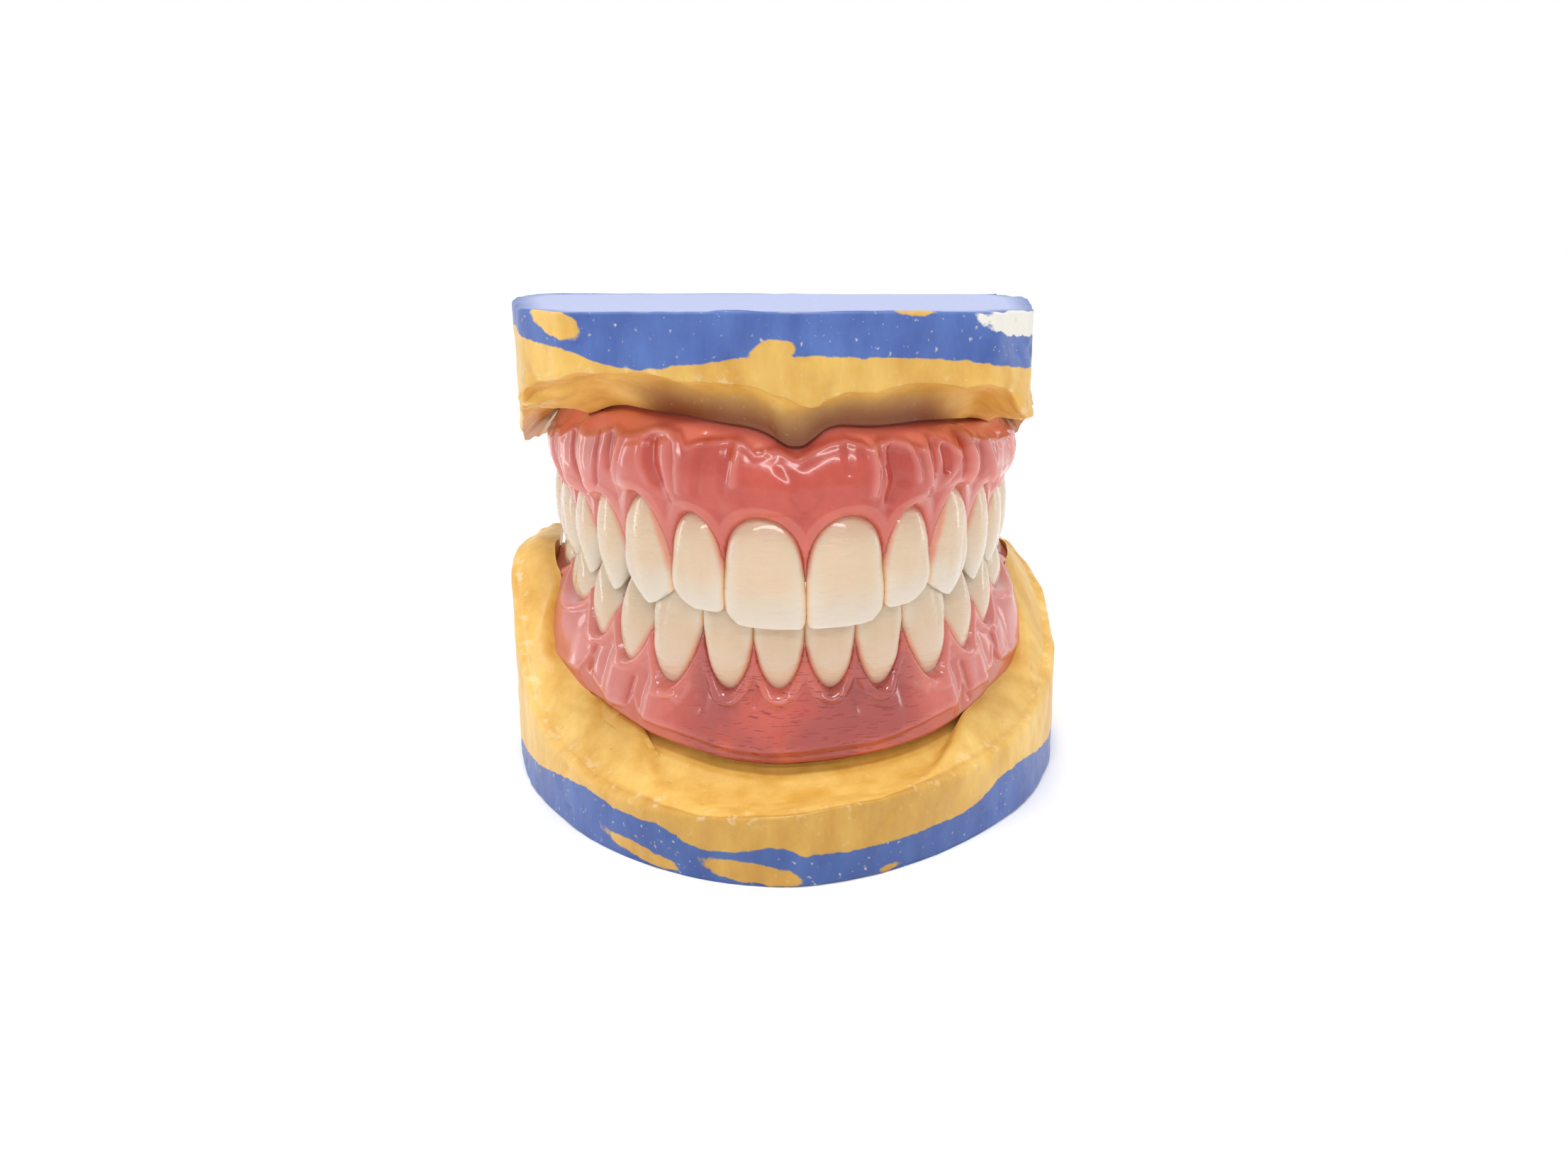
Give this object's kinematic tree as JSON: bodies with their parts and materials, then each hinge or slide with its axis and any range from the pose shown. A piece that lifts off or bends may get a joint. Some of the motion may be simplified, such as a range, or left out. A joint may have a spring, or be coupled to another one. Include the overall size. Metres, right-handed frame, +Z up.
{
  "type": "full denture on stone casts",
  "caption": "Complete upper and lower denture with pink gums and ivory teeth, closed together on trimmed stone casts.",
  "frame": {"origin": "middle of the flat underside of the lower cast", "axes": "+Z up towards the upper cast, -Y towards the front teeth, +X towards the wearer's left, which is the viewer's right"},
  "size_m": [0.07, 0.0584, 0.0578],
  "materials": {
    "blue_plaster": "matt",
    "yellow_stone": "matt",
    "pink_acrylic": "polished",
    "ivory_acrylic": "polished"
  },
  "bodies": {
    "root": {"lower_cast_base": "blue_plaster", "upper_cast_base": "blue_plaster", "lower_cast_stone": "yellow_stone", "upper_cast_stone": "yellow_stone", "lower_denture_base": "pink_acrylic", "upper_denture_base": "pink_acrylic", "upper_right_central_incisor": "ivory_acrylic", "upper_right_lateral_incisor": "ivory_acrylic", "upper_right_canine": "ivory_acrylic", "upper_right_first_premolar": "ivory_acrylic", "upper_right_second_premolar": "ivory_acrylic", "upper_right_first_molar": "ivory_acrylic", "upper_right_second_molar": "ivory_acrylic", "upper_left_central_incisor": "ivory_acrylic", "upper_left_lateral_incisor": "ivory_acrylic", "upper_left_canine": "ivory_acrylic", "upper_left_first_premolar": "ivory_acrylic", "upper_left_second_premolar": "ivory_acrylic", "upper_left_first_molar": "ivory_acrylic", "upper_left_second_molar": "ivory_acrylic", "lower_right_central_incisor": "ivory_acrylic", "lower_right_lateral_incisor": "ivory_acrylic", "lower_right_canine": "ivory_acrylic", "lower_right_first_premolar": "ivory_acrylic", "lower_right_second_premolar": "ivory_acrylic", "lower_right_first_molar": "ivory_acrylic", "lower_right_second_molar": "ivory_acrylic", "lower_left_central_incisor": "ivory_acrylic", "lower_left_lateral_incisor": "ivory_acrylic", "lower_left_canine": "ivory_acrylic", "lower_left_first_premolar": "ivory_acrylic", "lower_left_second_premolar": "ivory_acrylic", "lower_left_first_molar": "ivory_acrylic", "lower_left_second_molar": "ivory_acrylic"}
  },
  "joints": []
}
